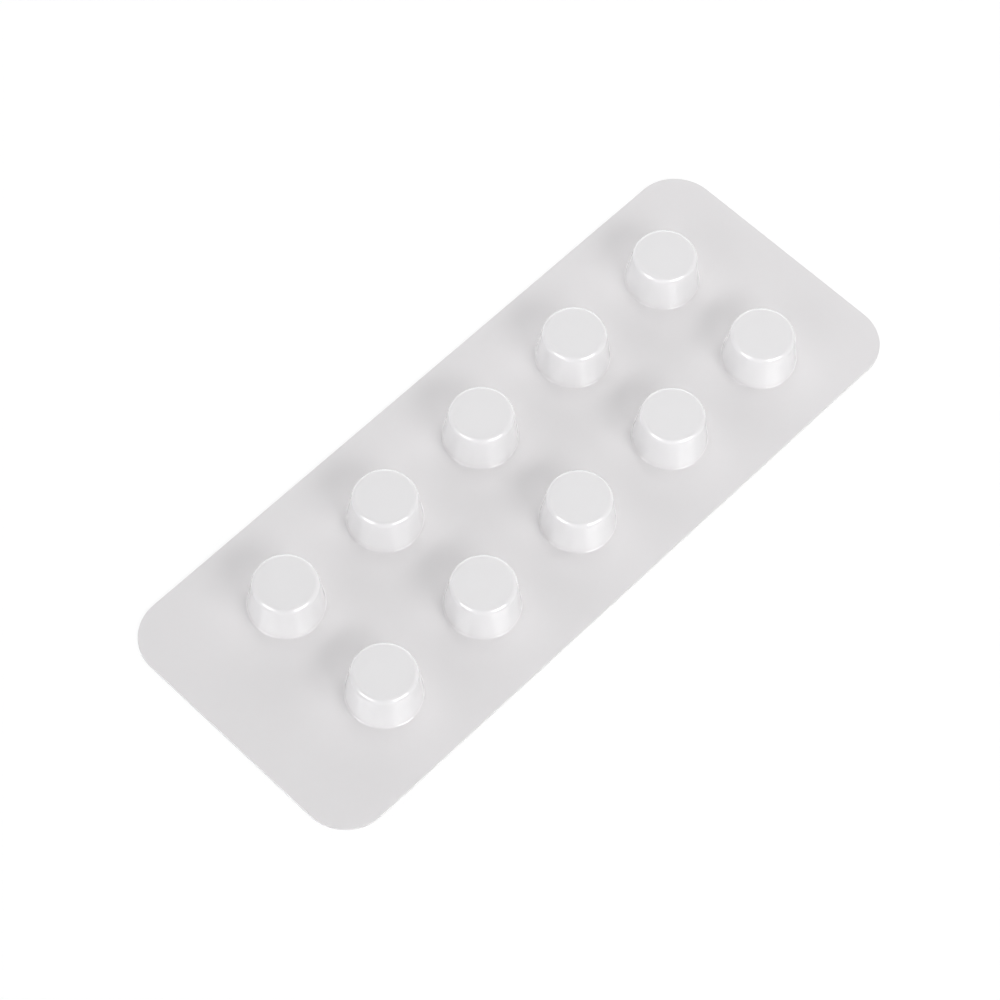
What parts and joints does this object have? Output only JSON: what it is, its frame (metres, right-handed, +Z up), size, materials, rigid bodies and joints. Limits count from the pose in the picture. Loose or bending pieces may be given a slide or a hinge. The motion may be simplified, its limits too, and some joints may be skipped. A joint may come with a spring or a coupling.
{
  "type": "tablet blister pack",
  "caption": "Thin rounded sheet of white formed film with rows of round flat-topped pockets, sealed with foil below, that holds tablets one by one until each is pushed out.",
  "frame": {"origin": "centre of the pack's outline, on the flat underside that it rests on", "axes": "+X along the pack's length, away from its wider blank end margin; +Y across the pack; +Z up, the way the pockets stand out of the sheet"},
  "size_m": [0.0944, 0.0374, 0.0054],
  "materials": {
    "white_film": "smooth opaque white formed film with a soft gloss"
  },
  "bodies": {
    "root": {"blister_pack": "white_film"}
  },
  "joints": []
}
